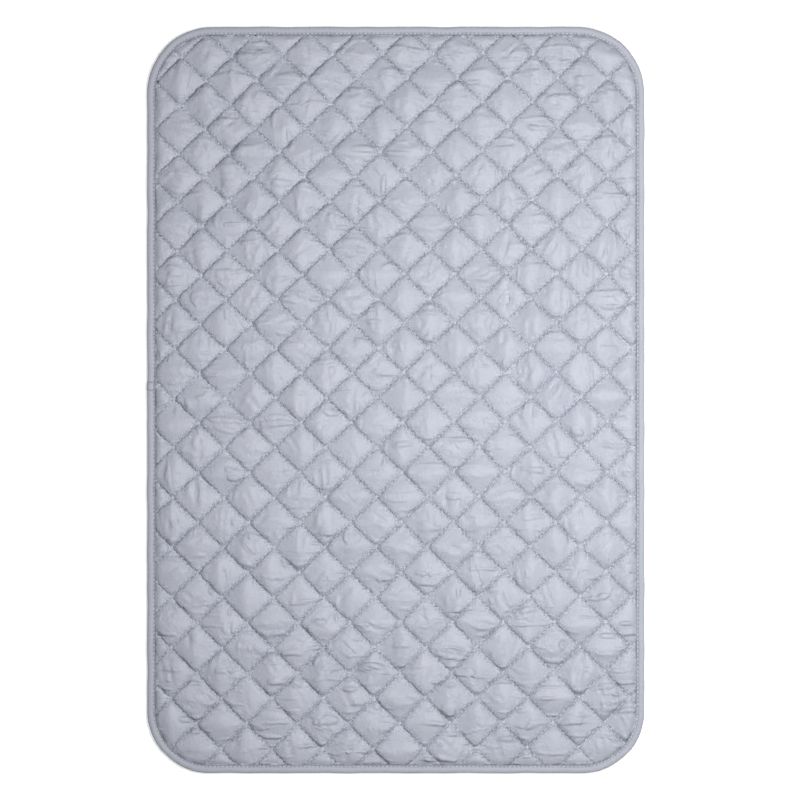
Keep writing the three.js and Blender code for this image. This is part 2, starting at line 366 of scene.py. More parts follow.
# Coated cotton: a pale silver-grey film over a plain weave, with a low, soft gloss. The weave is
# drawn at about twice its real spacing, because it is too fine to show.
FACE_COTTON = WovenFinish(
    name="coated_plain_weave_cotton",
    colour="c4c7d3",
    shade="b4b8c6",
    cleft="5a5e6a",
    roughness=0.5,
    sheen=0.08,
    thread=0.7,
    weave_depth=0.03,
    crumple=3.2,
    crumple_depth=0.4,
    fold=5.6,
    fold_depth=1.0,
    pucker_depth=0.8,
    crest_glint=1.9,
)
# Uncoated cotton: the same weave, matt and a little paler.
BACKING_COTTON = WovenFinish(
    name="plain_weave_cotton_backing",
    colour="caccd3",
    shade="bdc0c8",
    cleft="8a8d96",
    roughness=0.85,
    sheen=0.25,
    thread=0.7,
    weave_depth=0.05,
    crumple=4.0,
    crumple_depth=0.3,
    fold=4.0,
    fold_depth=0.2,
    pucker_depth=0.5,
    crest_glint=0.8,
)
# Bias tape of the same cotton, tighter, so smoother on its roll, and a little darker.
BIAS_TAPE = WovenFinish(
    name="cotton_bias_tape",
    colour="bec1cc",
    shade="b0b4c0",
    cleft="656975",
    roughness=0.6,
    sheen=0.15,
    thread=0.6,
    weave_depth=0.03,
    crumple=2.4,
    crumple_depth=0.18,
    fold=3.0,
    fold_depth=0.08,
    pucker_depth=0.0,
    crest_glint=0.0,
)
# Needled polyester wadding: loose matt fibres, off-white.
WADDING_FIBRE = FibreFinish("needled_polyester_wadding", "f2f0ea", "e2dfd6", 0.95, 0.4, 1.2, 0.5)
# Spun polyester thread: light silver, with the soft sheen of its twist.
SEWING_THREAD = FibreFinish("spun_polyester_thread", "eceef4", "d2d5de", 0.45, 0.2, 0.25, 0.04)


# Plan of the pad


@dataclass(frozen=True)
class PadOutline:
    """The rounded rectangle of the pad's outer edge.

    The corners were cut by hand, so their radii differ a little. They run counter-clockwise from the
    top right corner.
    """

    width: float = 400.0
    length: float = 600.0
    radii: tuple[float, float, float, float] = (54.0, 53.0, 50.5, 50.5)

    def from_corner(self, x: Points, y: Points) -> tuple[Points, Points, Points]:
        """Measures points from the middle of the nearest corner's arc.

        Args:
            x: places across the pad.
            y: places along the pad.

        Returns:
            The corner's radius, and how far outward the points lie across and along the pad.
        """
        upper = np.where(x >= 0, self.radii[0], self.radii[1])
        radius = np.where(y >= 0, upper, np.where(x >= 0, self.radii[3], self.radii[2]))
        return radius, np.abs(x) - (self.width / 2 - radius), np.abs(y) - (self.length / 2 - radius)

    def depth(self, x: Points, y: Points) -> Points:
        """Measures how far inside the edge points lie.

        Args:
            x: places across the pad.
            y: places along the pad.

        Returns:
            The distance to the edge, positive inside.
        """
        radius, across, along = self.from_corner(x, y)
        outer = np.hypot(np.maximum(across, 0), np.maximum(along, 0))
        return radius - outer - np.minimum(np.maximum(across, along), 0)

    def drawn_in(self, x: Points, y: Points, depth: float) -> tuple[Points, Points]:
        """Moves points straight in or out until they lie at one depth.

        Args:
            x: places across the pad.
            y: places along the pad.
            depth: the depth that they go to.

        Returns:
            The new places across and along.
        """
        _, across, along = self.from_corner(x, y)
        corner = (across > 0) & (along > 0)
        reach = np.where(corner, np.hypot(across, along), 1)
        part_x = np.where(corner, across / reach, across >= along)
        part_y = np.where(corner, along / reach, across < along)
        move = self.depth(x, y) - depth
        return x + np.sign(x) * part_x * move, y + np.sign(y) * part_y * move

    def runs(self) -> list[tuple[float, Vector, Vector, float]]:
        """Lists the edge's straight sides and corners, counter-clockwise from the right side's foot.

        Returns:
            For each: its length, the start or the middle of the arc, the heading or the first
            outward direction, and the radius, which is 0 on a straight side.
        """
        half_x, half_y = self.width / 2, self.length / 2
        listed = []
        for turn in range(4):
            angle = turn * math.pi / 2
            heading = Vector((-math.sin(angle), math.cos(angle)))
            outward = Vector((math.cos(angle), math.sin(angle)))
            far, near = (half_x, half_y) if turn % 2 == 0 else (half_y, half_x)
            before, after = self.radii[turn - 1], self.radii[turn]
            foot = outward * far - heading * (near - before)
            middle = outward * (far - after) + heading * (near - after)
            listed.append((2 * near - before - after, foot, heading, 0.0))
            listed.append((math.pi / 2 * after, middle, outward, after))
        return listed

    def perimeter(self) -> float:
        """Adds up the whole edge."""
        return sum(run[0] for run in self.runs())

    def at(self, along: float, inset: float) -> tuple[float, float]:
        """Finds a point of the edge.

        Args:
            along: the length walked from the right side's foot.
            inset: how far inside the edge.

        Returns:
            The point.
        """
        left = along % self.perimeter()
        for length, start, way, radius in self.runs():
            if left <= length:
                break
            left -= length
        if radius:
            cos, sin = math.cos(left / radius), math.sin(left / radius)
            outward = Vector((way.x * cos - way.y * sin, way.x * sin + way.y * cos))
            point = start + outward * (radius - inset)
        else:
            point = start + way * left + Vector((-way.y, way.x)) * inset
        return point.x, point.y


@dataclass(frozen=True)
class QuiltLattice:
    """Diamond quilting: the seams lie at whole numbers of two slanting measures, a and b.

    Binding has pulled the quilted cloth a little out of square. The drift is a cubic in the shares u
    of the half width and v of the half length, with its parts in the order of `terms`. The sewing also
    wanders in small waves. Each is given by how fast it turns with a and with b, and where it starts.
    """

    width: float = 40.95
    length: float = 39.9
    start_x: float = -14.4
    start_y: float = 1.0
    half_width: float = 200.0
    half_length: float = 300.0
    stitches: int = 7
    reach: int = 14
    drift_x: tuple[float, ...] = (-0.5, 2.95, 0.54, 1.17, 0.57, -1.79, -1.75, 0.08, -0.84, -0.87)
    drift_y: tuple[float, ...] = (1.04, -0.25, -3.63, 0.02, 1.05, 0.52, 0.93, -0.40, -1.20, -0.78)
    furthest: float = 1.2
    wander: float = 0.16
    waves_x: tuple[tuple[float, ...], ...] = ((1.83, 2.31, 0.4), (11.7, -14.3, 2.0), (19.1, 17.9, 0.0))
    waves_y: tuple[tuple[float, ...], ...] = ((2.41, -1.72, 1.1), (13.1, 10.9, 0.3), (18.3, -21.7, 0.0))

    def spacing(self) -> float:
        """Gives the distance between neighbouring seams."""
        return self.width * self.length / math.hypot(self.width, self.length)

    def terms(self, x: Points, y: Points) -> Points:
        """Gives the parts of a cubic at places on the pad.

        Args:
            x: places across.
            y: places along.

        Returns:
            The ten parts, last axis.
        """
        u = np.clip(x / self.half_width, -self.furthest, self.furthest)
        v = np.clip(y / self.half_length, -self.furthest, self.furthest)
        one = np.ones_like(u)
        return np.stack([one, v, v**2, v**3, u, u * v, u * v**2, u**2, u**2 * v, u**3], -1)

    def place(self, a: Points, b: Points) -> tuple[Points, Points]:
        """Turns the slanting measures into places on the pad, with the drift and the sewing's wander.

        Args:
            a: numbers of falling seams.
            b: numbers of rising seams.

        Returns:
            Places across and along.
        """
        sway, lean = (
            sum(np.sin(by_a * a + by_b * b + start) for by_a, by_b, start in waves)
            for waves in (self.waves_x, self.waves_y)
        )
        x = self.start_x + self.width * (a + b) / 2
        y = self.start_y + self.length * (a - b) / 2
        parts = self.terms(x, y)
        drift_x, drift_y = parts @ np.array(self.drift_x), parts @ np.array(self.drift_y)
        return x + drift_x + self.wander * sway, y + drift_y + self.wander * lean


OUTLINE = PadOutline()
LATTICE = QuiltLattice()


# Grids of points and their faces


def round_min(p: Points, q: Points, radius: float) -> Points:
    """Joins two distances to edges so that the corner between the edges is rounded.

    Args:
        p: distances to one edge.
        q: distances to the other edge.
        radius: the corner's radius.

    Returns:
        Distances to the rounded border.
    """
    near = (p < radius) & (q < radius)
    return np.where(near, radius - np.hypot(radius - p, radius - q), np.minimum(p, q))


def used_points(kept: Points) -> Points:
    """Marks the grid points that the kept cells use.

    Args:
        kept: the cells in use.

    Returns:
        A mark for each grid point.
    """
    used = np.zeros((kept.shape[0] + 1, kept.shape[1] + 1), bool)
    for da, db in ((0, 0), (0, 1), (1, 0), (1, 1)):
        used[da : da + kept.shape[0], db : db + kept.shape[1]] |= kept
    return used


def numbered(used: Points, first: int = 0) -> Points:
    """Numbers the grid points in use.

    Args:
        used: a mark for each grid point.
        first: the first number.

    Returns:
        The number of each grid point, or -1 where it isn't in use.
    """
    ids = np.full(used.shape, -1)
    ids[used] = first + np.arange(used.sum())
    return ids


def rim_walls(quads: Points, below: int) -> Faces:
    """Makes the faces that join the rim of a sheet to the same rim of its other side.

    Args:
        quads: the sheet's faces.
        below: how much higher the numbers of the other side's points are.

    Returns:
        A face for each edge that only one of the sheet's faces has.
    """
    edges = np.concatenate([np.stack([quads[:, k], quads[:, (k + 1) % 4]], -1) for k in range(4)]).tolist()
    present = set(map(tuple, edges))
    return [[q, p, p + below, q + below] for p, q in edges if (q, p) not in present]


# Quilted cloths


@dataclass
class QuiltGrid:
    """Points of a ply on lines that follow the seams."""

    x: Points
    y: Points
    z: Points
    form: Points
    depth: Points
    room: Points
    ruffle: Points
    sewn: Points
    cleft: Points
    kept: Points
    cells: int


@dataclass
class CutPillow:
    """The cloth of one pillow: its points' places in the grid, as cut and as sewn, and its faces."""

    at: Points
    rest: Points
    sewn: Points
    held: Points
    pinned: Points
    faces: Faces


@dataclass(frozen=True)
class Pull:
    """How the simulation draws a cloth in and swells it."""

    pressure: float = 0.2
    bending: float = 0.02
    stiffness: float = 30.0
    shear: float = 5.0
    damping: float = 1.0
    mass: float = 0.05
    quality: int = 6
    frames: int = 24
    drawn_by: int = 12
    unit: float = 10.0

    def settle(self, rest: Points, sewn: Points, pinned: Points, faces: Faces) -> Points:
        """Lets spare cloth settle while its seams draw in to where they are sewn.

        Args:
            rest: the cloth as it was cut, in millimetres.
            sewn: where the seams end.
            pinned: which points are sewn.
            faces: the cloth's faces.

        Returns:
            The settled points, in millimetres.
        """
        mesh = bpy.data.meshes.new("cut_cloth")
        mesh.from_pydata((rest / self.unit).tolist(), [], faces)
        cloth = link_object("cut_cloth", mesh)
        cloth.shape_key_add(name="cut", from_mix=False)
        seams = cloth.shape_key_add(name="sewn", from_mix=False)
        seams.data.foreach_set("co", (sewn / self.unit).ravel())
        cloth.vertex_groups.new(name="seams").add(np.flatnonzero(pinned).tolist(), 1.0, "REPLACE")
        modifier = cloth.modifiers.new("settle", "CLOTH")
        settings = modifier.settings
        settings.quality = self.quality
        settings.mass = self.mass
        settings.tension_stiffness = settings.compression_stiffness = self.stiffness
        settings.shear_stiffness = self.shear
        settings.bending_stiffness = self.bending
        settings.tension_damping = settings.compression_damping = settings.shear_damping = self.damping
        settings.air_damping = 1.0
        settings.vertex_group_mass = "seams"
        settings.use_pressure = True
        settings.uniform_pressure_force = self.pressure
        settings.effector_weights.gravity = 0.0
        modifier.collision_settings.use_collision = False
        modifier.point_cache.frame_start = 1
        modifier.point_cache.frame_end = self.frames
        for step in range(self.frames):
            seams.value = min(1.0, step / self.drawn_by)
            bpy.context.scene.frame_set(step + 1)
        settled = bpy.data.meshes.new_from_object(cloth.evaluated_get(bpy.context.evaluated_depsgraph_get()))
        points = np.empty(len(settled.vertices) * 3)
        settled.vertices.foreach_get("co", points)
        bpy.data.objects.remove(cloth)
        bpy.data.meshes.remove(settled)
        bpy.data.meshes.remove(mesh)
        bpy.context.scene.frame_set(1)
        return points.reshape(-1, 3) * self.unit


@dataclass
class QuiltedCloth:
    """One of the two cloths: a sheet sewn down along the seams, swollen and puckered between them.

    Its lines are the grid lines of a diamond, in half stitches. Each shade is the painted shade of a seam's
    cleft at a needle hole's edge and how much more is painted in the hole. The edge shade is painted shade
    on the cloth beside the binding's rim.
    """

    name: str
    node: str
    slot: str
    side: Side
    finish: WovenFinish
    lines: tuple[float, ...]
    seam: float
    loft: float
    shoulder: float
    spare: tuple[float, float]
    cross_spare: tuple[float, float]
    crease: float
    pull: Pull
    ridge: tuple[float, float] = (0.4, 2.0)
    ridge_reach: float = 10.0
    ridge_bow: float = 1.6
    ridge_round: float = 1.6
    ridge_offset: float = 3.0
    folds: int = 7
    fold_height: float = 0.55
    fold_limit: float = 2.2
    set_in: float = 0.9
    slide: float = 0.55
    lift: tuple[float, float] = (-0.6, 1.6)
    dip: float = 0.0
    thickness: float = 0.35
    crown: float = 0.4
    crown_power: float = 0.8
    crossing: float = 4.6
    edge: float = 7.0
    snap: float = 0.74
    first_row: float = 0.95
    pucker: float = 0.0
    pucker_place: float = 1.4
    pucker_width: float = 1.2
    pucker_lift: tuple[float, float] = (-0.4, 0.6)
    drawn: float = 4.0
    tighter: float = 1.2
    trim: float = 4.4
    upright: float = 0.6
    falling_shade: tuple[float, float] = (0.86, 0.1)
    rising_shade: tuple[float, float] = (0.42, 0.3)
    crossing_pale: float = 1.4
    edge_shade: float = 0.58
    floor: float | None = None
    seed: int = 7

    def lay_grid(self) -> QuiltGrid:
        """Lays the cloth's points out along the seams and gives each its place before it settles.

        Returns:
            The grid.
        """
        half_stitches = 2 * LATTICE.stitches
        steps = np.array(self.lines) / half_stitches
        reach = LATTICE.reach
        marks = np.concatenate([k + steps[:-1] for k in range(-reach, reach)] + [[reach]])
        a, b = np.meshgrid(marks, marks, indexing="ij")
        x, y = LATTICE.place(a, b)
        depth = OUTLINE.depth(x, y)
        inside = depth > self.trim
        kept = inside[:-1, :-1] | inside[1:, :-1] | inside[:-1, 1:] | inside[1:, 1:]
        rows = ((self.edge, self.edge), (self.edge + 2 * self.snap, self.edge + self.first_row))
        snapped = [(np.abs(depth - found) < self.snap, goal) for found, goal in rows]
        for moved, goal in [(~inside, self.trim), *snapped]:
            x[moved], y[moved] = OUTLINE.drawn_in(x[moved], y[moved], goal)
            depth[moved] = goal
        part_a, part_b = a - np.floor(a), b - np.floor(b)
        to_a, to_b = (LATTICE.spacing() * np.minimum(part, 1 - part) for part in (part_a, part_b))
        room = round_min(to_a / self.tighter, to_b, self.crossing)
        rise = np.clip(round_min(room, depth - self.edge, self.crossing) / self.shoulder, 0, 1)
        by_edge = np.sin(np.pi / 2 * np.clip(2 * (depth - self.edge) / LATTICE.spacing(), 0, 1))
        top = (np.sin(np.pi * part_a) * np.sin(np.pi * part_b)) ** self.crown_power * by_edge
        form = np.sqrt(1 - (1 - rise) ** 2) * (1 - self.crown + self.crown * top)
        seam_line = (part_a == 0) | (part_b == 0)
        along = np.where(part_a == 0, part_b, part_a) * half_stitches
        hole = np.sin(np.pi * along / 2) ** 2
        z = self.seam - self.side.value * np.where(seam_line & (depth > self.edge), self.dip * hole, 0)
        sewn = seam_line | (depth <= self.edge)
        off_crossing = np.clip(np.minimum(along, half_stitches - along) / self.crossing_pale, 0, 1)
        draw = np.random.default_rng(self.seed)
        uneven = draw.uniform(0.5, 1.0, a.shape)
        by_seam = np.minimum(to_a, to_b)
        beside = np.exp(-(((by_seam - self.pucker_place) / self.pucker_width) ** 2))
        ruffle = draw.normal(0, self.pucker, a.shape) * beside
        # Painted shade: the seams' clefts are darkened, the falling rows more than the rising, more in the
        # needle holes and less near the crossings.
        falling, rising = (base + more * hole for base, more in (self.falling_shade, self.rising_shade))
        cleft = np.where(seam_line, off_crossing * np.where(part_a == 0, falling, rising) * uneven, 0)
        # Painted shade: the cloth at the binding's rim is darkened as the shadow of the tape's lip.
        cleft = np.where(depth <= self.edge, self.edge_shade, cleft)
        return QuiltGrid(x, y, z, form, depth, by_seam, ruffle, sewn, cleft, kept, len(self.lines) - 1)

    def quads(self, ids: Points, kept: Points) -> Points:
        """Lists a grid's faces so that they face away from the wadding.

        Args:
            ids: the number of each grid point.
            kept: the cells that are cloth.

        Returns:
            Four corners for each kept cell.
        """
        corners = np.stack([ids[:-1, :-1], ids[:-1, 1:], ids[1:, 1:], ids[1:, :-1]], -1)[kept]
        return corners[:, :: self.side.value]

    def creases(self, draw: np.random.Generator, fold: Fold, over: Points, up: Points) -> Points:
        """Draws the folds that a pillow's spare cloth starts from.

        Args:
            draw: the source of chance.
            fold: how the pillow folds.
            over: distances to the right of its middle.
            up: distances above its middle.

        Returns:
            The height of the folds, for most pillows below 2.
        """
        aside, ahead = (over, up) if fold is Fold.UPRIGHT else (up, over)
        bow = draw.normal(0, self.ridge_bow) * np.sin(ahead / draw.uniform(3.0, 6.0) + draw.uniform(0, 6))
        ridge = np.hypot(aside - bow - draw.normal(0, self.ridge_offset), self.ridge_round)
        height = draw.uniform(*self.ridge) * (1 - ridge / self.ridge_reach)
        for _ in range(self.folds):
            at_x, at_y, tilt, chance = draw.normal(0, (5.0, 5.0, 0.4, 1.0))
            wave, wide, long = draw.uniform((4.5, 1.8, 4.0), (8.0, 4.5, 9.0))
            weight = self.fold_height * float(np.clip(chance**3, -self.fold_limit, self.fold_limit))
            cos, sin = math.cos(fold.value + tilt), math.sin(fold.value + tilt)
            across = (over - at_x) * cos + (up - at_y) * sin
            along = (up - at_y) * cos - (over - at_x) * sin
            faded = np.exp(-((across / wide) ** 2) - (along / long) ** 2)
            height = height + weight * np.cos(2 * np.pi * across / wave) * faded
        return height

    def cut_pillows(self, grid: QuiltGrid) -> list[CutPillow]:
        """Cuts the cloth of every pillow with some to spare.

        Args:
            grid: the cloth's points.

        Returns:
            The cloth of each pillow, with its points numbered on from those before.
        """
        draw = np.random.default_rng(self.seed)
        cells, total = grid.cells, 0
        pillows = []
        for i in range(0, grid.kept.shape[0], cells):
            for j in range(0, grid.kept.shape[1], cells):
                fold = Fold.UPRIGHT if draw.random() < self.upright else Fold.LEVEL
                most, least = draw.uniform(*self.spare), draw.uniform(*self.cross_spare)
                block = grid.kept[i : i + cells, j : j + cells]
                if not block.any():
                    continue
                window = np.s_[i : i + cells + 1, j : j + cells + 1]
                x, y, z = grid.x[window], grid.y[window], grid.z[window]
                form, pinned = grid.form[window], grid.sewn[window]
                middle = (np.array(start / cells + 0.5 - LATTICE.reach) for start in (i, j))
                middle_x, middle_y = LATTICE.place(*middle)
                over, up = x - middle_x, y - middle_y
                grow_x, grow_y = (most, least) if fold is Fold.UPRIGHT else (least, most)
                crease = self.creases(draw, fold, over, up)
                swollen = form * (self.loft + self.crease * crease)
                height = z + self.side.value * np.where(pinned, 0, swollen)
                rest = (middle_x + over * (1 + grow_x), middle_y + up * (1 + grow_y), height)
                used = used_points(block)
                pillow = CutPillow(
                    at=np.argwhere(used) + (i, j),
                    rest=np.stack(rest, -1)[used],
                    sewn=np.stack([x, y, np.where(pinned, z, height)], -1)[used],
                    held=(form * crease)[used],
                    pinned=pinned[used],
                    faces=self.quads(numbered(used, total), block).tolist(),
                )
                pillows.append(pillow)
                total += int(used.sum())
        return pillows

    def settle(self, grid: QuiltGrid) -> None:
        """Simulates every pillow of the cloth and puts the result into the grid.

        Args:
            grid: the cloth's points, which are changed.
        """
        pillows = self.cut_pillows(grid)
        places, rest, sewn, held, pinned = (
            np.concatenate([getattr(pillow, part) for pillow in pillows])
            for part in ("at", "rest", "sewn", "held", "pinned")
        )
        at = (places[:, 0], places[:, 1])
        faces = [face for pillow in pillows for face in pillow.faces]
        settled = self.pull.settle(rest, sewn, pinned, faces)
        slide = settled[:, :2] - sewn[:, :2]
        far = np.maximum(np.linalg.norm(slide, axis=1), 1e-9)
        slide *= (np.minimum(far, self.slide * grid.room[at]) / far)[:, None]
        swell = self.side.value
        lift = swell * (settled[:, 2] - self.seam) + self.set_in * self.crease * held
        lift += np.clip(grid.ruffle[at], *self.pucker_lift)
        lowest, highest = self.lift
        lift = np.clip(lift, lowest, highest * self.loft)
        grid.x[at] = np.where(pinned, grid.x[at], sewn[:, 0] + slide[:, 0])
        grid.y[at] = np.where(pinned, grid.y[at], sewn[:, 1] + slide[:, 1])
        grid.z[at] = np.where(pinned, grid.z[at], self.seam + swell * lift)
        if self.floor is not None:
            grid.z = np.maximum(grid.z, self.floor)

    def inner_faces(self, kept: Points, ids: Points) -> Faces:
        """Lists the faces of the hidden side, four cells to a face where they can be joined.

        Args:
            kept: the cells that are cloth.
            ids: the number of each grid point on the hidden side.

        Returns:
            The faces, turned towards the wadding.
        """
        whole = kept[0::2, 0::2] & kept[1::2, 0::2] & kept[0::2, 1::2] & kept[1::2, 1::2]
        joined = np.pad(whole, 1)
        ring = ((0, 0), (0, 1), (0, 2), (1, 2), (2, 2), (2, 1), (2, 0), (1, 0))
        listed: Faces = []
        for p, q in np.argwhere(whole):
            # The middle of a side is a corner only where the cells next to it aren't joined.
            loop = [(i, j) for i, j in ring if (i + j) % 2 == 0 or not joined[p + i, q + j]]
            listed.append([int(ids[2 * p + i, 2 * q + j]) for i, j in loop][:: -self.side.value])
        single = kept & ~np.repeat(np.repeat(whole, 2, 0), 2, 1)
        return listed + self.quads(ids, single)[:, ::-1].tolist()

    def build(self, grid: QuiltGrid) -> bpy.types.Object:
        """Turns the settled grid into a closed sheet of the cloth's thickness.

        Args:
            grid: the settled points.

        Returns:
            The finished piece.
        """
        used = used_points(grid.kept)
        ids = numbered(used)
        outer = np.stack([grid.x[used], grid.y[used], grid.z[used]], -1)
        quads = self.quads(ids, grid.kept)
        # A quad is drawn as two triangles, split between its first and third corners. The split lies
        # along the binding, so that the line beside it is straight.
        deep = grid.depth[used][quads]
        across = np.abs(deep[:, 0] - deep[:, 2]) > np.abs(deep[:, 1] - deep[:, 3])
        quads[across] = np.roll(quads[across], 1, axis=1)
        normals = np.zeros_like(outer)
        facing = np.cross(outer[quads[:, 2]] - outer[quads[:, 0]], outer[quads[:, 3]] - outer[quads[:, 1]])
        for corner in range(4):
            np.add.at(normals, quads[:, corner], facing)
        normals /= np.maximum(np.linalg.norm(normals, axis=1), 1e-12)[:, None]
        inner = outer - normals * self.thickness
        hidden = self.inner_faces(grid.kept, np.where(used, ids + len(outer), -1))
        faces = quads.tolist() + hidden + rim_walls(quads, len(outer))
        drawn = np.exp(-((grid.room[used] / self.drawn) ** 2))
        # The painted shade of the clefts and the reach of the puckers go to the mesh as attributes.
        marks = {"cleft": grid.cleft[used], "pucker": drawn}
        marks = {mark: np.concatenate([values, np.zeros(len(inner))]) for mark, values in marks.items()}
        return self.dress(np.concatenate([outer, inner]), faces, marks)

    def dress(self, points: Points, faces: Faces, marks: dict[str, Points]) -> bpy.types.Object:
        """Makes the piece from only the points that its faces use.

        Args:
            points: all points, in millimetres.
            faces: the faces.
            marks: attributes of the points that the finish reads, from 0 to 1.

        Returns:
            The finished piece.
        """
        used = np.unique(np.concatenate([np.asarray(face) for face in faces]))
        renumbered = np.full(len(points), -1)
        renumbered[used] = np.arange(len(used))
        faces = [renumbered[face].tolist() for face in faces]
        piece = make_piece(self.name, points[used], faces, self.finish.material())
        for mark, values in marks.items():
            piece.data.attributes.new(mark, "FLOAT", "POINT").data.foreach_set("value", values[used])
        return fit_piece(piece, self.node)


# Wadding


@dataclass
class Wadding:
    """The soft filling: thick in the pillows and pressed thin along the seams."""

    name: str = "wadding_fill"
    node: str = "wadding"
    slot: str = "polyester_wadding"
    clearance: float = 0.15
    thinnest: float = 0.3
    trim: float = 5.0

    def build(
        self, face: QuiltedCloth, face_grid: QuiltGrid, back: QuiltedCloth, back_grid: QuiltGrid
    ) -> bpy.types.Object:
        """Fills the room between the settled cloths.

        Args:
            face: the upper cloth.
            face_grid: its settled points.
            back: the lower cloth.
            back_grid: its settled points, on some of the upper cloth's lines.

        Returns:
            The finished piece.
        """
        shared = [face.lines.index(line) for line in back.lines[:-1]]
        blocks = np.arange(2 * LATTICE.reach) * face_grid.cells
        picks = np.append((blocks[:, None] + shared).ravel(), 2 * LATTICE.reach * face_grid.cells)
        lowest, highest = face_grid.z, back_grid.z
        for axis in (0, 1):
            lowest = np.minimum.reduce([np.roll(lowest, shift, axis) for shift in range(-2, 3)])
            highest = np.maximum.reduce([np.roll(highest, shift, axis) for shift in range(-1, 2)])
        low = highest + back.thickness + self.clearance
        high = np.maximum(lowest[np.ix_(picks, picks)] - face.thickness - self.clearance, low + self.thinnest)
        inside = OUTLINE.depth(back_grid.x, back_grid.y) > self.trim
        kept = inside[:-1, :-1] & inside[1:, :-1] & inside[:-1, 1:] & inside[1:, 1:]
        used = used_points(kept)
        count = int(used.sum())
        upper = face.quads(numbered(used), kept)
        sides = [np.stack([back_grid.x[used], back_grid.y[used], z[used]], -1) for z in (high, low)]
        faces = upper.tolist() + (upper[:, ::-1] + count).tolist() + rim_walls(upper, count)
        piece = make_piece(self.name, np.concatenate(sides), faces, WADDING_FIBRE.material())
        return fit_piece(piece, self.node)


# Geometry node trees


def node_tree(name: str, sockets: dict[str, tuple[str, ...]]) -> tuple[bpy.types.NodeTree, bpy.types.Node]:
    """Starts a geometry node tree.

    Args:
        name: the tree's name.
        sockets: the names of the inputs of each type, beside the geometry.

    Returns:
        The tree and its input node.
    """
    tree = bpy.data.node_groups.new(name, "GeometryNodeTree")
    tree.interface.new_socket("Geometry", in_out="INPUT", socket_type="NodeSocketGeometry")
    for kind, names in sockets.items():
        for socket in names:
            tree.interface.new_socket(socket, in_out="INPUT", socket_type="NodeSocket" + kind)
    tree.interface.new_socket("Geometry", in_out="OUTPUT", socket_type="NodeSocketGeometry")
    return tree, add_node(tree, "NodeGroupInput")


def end_tree(tree: bpy.types.NodeTree, shape: bpy.types.Node, material: bpy.types.NodeSocket) -> None:
    """Ends a tree in real geometry with its material.

    Args:
        tree: the tree.
        shape: the node that gives the geometry.
        material: the material input.
    """
    real = add_node(tree, "GeometryNodeRealizeInstances", {"Geometry": shape})
    dressed = add_node(tree, "GeometryNodeSetMaterial", {"Geometry": real, "Material": material})
    add_node(tree, "NodeGroupOutput", {0: dressed})


def run_tree(
    name: str, path: bpy.types.Object, tree: bpy.types.NodeTree, values: dict[str, Any]
) -> bpy.types.Object:
    """Runs a tree on a path and keeps the result as a plain mesh.

    Args:
        name: the finished piece's name.
        path: the curve that the tree works on, which is removed.
        tree: the tree.
        values: what each named input takes.

    Returns:
        The piece.
    """
    modifier = path.modifiers.new("made", "NODES")
    modifier.node_group = tree
    for item in tree.interface.items_tree:
        if item.item_type == "SOCKET" and item.in_out == "INPUT" and item.name in values:
            modifier[item.identifier] = values[item.name]
    bpy.context.view_layer.update()
    made = bpy.data.meshes.new_from_object(path.evaluated_get(bpy.context.evaluated_depsgraph_get()))
    path.modifiers.remove(modifier)
    bpy.data.objects.remove(path)
    made.name = name
    return link_object(name, made)


def make_path(name: str, lines: list[Points], closed: bool) -> bpy.types.Object:
    """Makes a curve of straight steps.

    Args:
        name: the curve's name.
        lines: the points of each line, in millimetres.
        closed: whether each line joins its own start.

    Returns:
        The curve.
    """
    curve = bpy.data.curves.new(name, "CURVE")
    curve.dimensions = "3D"
    curve.twist_mode = "Z_UP"
    for line in lines:
        spline = curve.splines.new("POLY")
        spline.points.add(len(line) - 1)
        spline.points.foreach_set("co", np.column_stack([line * MM, np.ones(len(line))]).ravel())
        spline.use_cyclic_u = closed
    return link_object(name, curve)


def stitch_tree() -> bpy.types.NodeTree:
    """Builds the tree that sets one thread stitch on every point of a path.

    Returns:
        The tree.
    """
    sizes = ("Length", "Thickness", "Arch", "Sink", "Slant")
    sockets = {"Float": sizes, "Int": ("Seed",), "Material": ("Material",)}
    tree, given = node_tree("row_of_stitches", sockets)
    add, take = partial(add_node, tree), given.outputs
    points = add("GeometryNodeCurveToPoints", {"Curve": take["Geometry"]}, mode="EVALUATED")
    shares = (("Length", 0.5), ("Length", -0.5), ("Sink", -1.0), ("Thickness", 0.5), ("Slant", -1.0))
    half, back, under, radius, against = (
        add(MATH, {0: take[name], 1: share}, operation="MULTIPLY") for name, share in shares
    )
    # The middle of the bend pulls twice as high as the thread reaches.
    pulled = add(MATH, {0: take["Arch"], 1: 2.0, 2: take["Sink"]}, operation="MULTIPLY_ADD")
    start, middle, end = (
        add(COMBINE, place) for place in ({"X": back, "Z": under}, {"Z": pulled}, {"X": half, "Z": under})
    )
    arc = {"Resolution": 5, "Start": start, "Middle": middle, "End": end}
    bend = add("GeometryNodeCurveQuadraticBezier", arc)
    ring = add("GeometryNodeCurvePrimitiveCircle", {"Resolution": 6, "Radius": radius})
    thread = add(TUBE, {"Curve": bend, "Profile Curve": ring, "Fill Caps": True})
    smooth = add(SMOOTH, {"Geometry": thread})
    swing = add(RANDOM, {2: against, 3: take["Slant"], "Seed": take["Seed"]}, data_type="FLOAT")
    turned = add("FunctionNodeEulerToRotation", {0: add(COMBINE, {"Z": swing})})
    heading = add("FunctionNodeAlignRotationToVector", {"Vector": points.outputs["Tangent"]}, axis="X")
    turns = {"Rotation": heading, "Rotate By": turned}
    laid = add("FunctionNodeRotateRotation", turns, rotation_space="LOCAL")
    size = add(RANDOM, {2: 0.7, 3: 1.35, "Seed": take["Seed"]}, data_type="FLOAT")
    placed = {"Points": points, "Instance": smooth, "Rotation": laid, "Scale": size}
    end_tree(tree, add("GeometryNodeInstanceOnPoints", placed), take["Material"])
    return tree


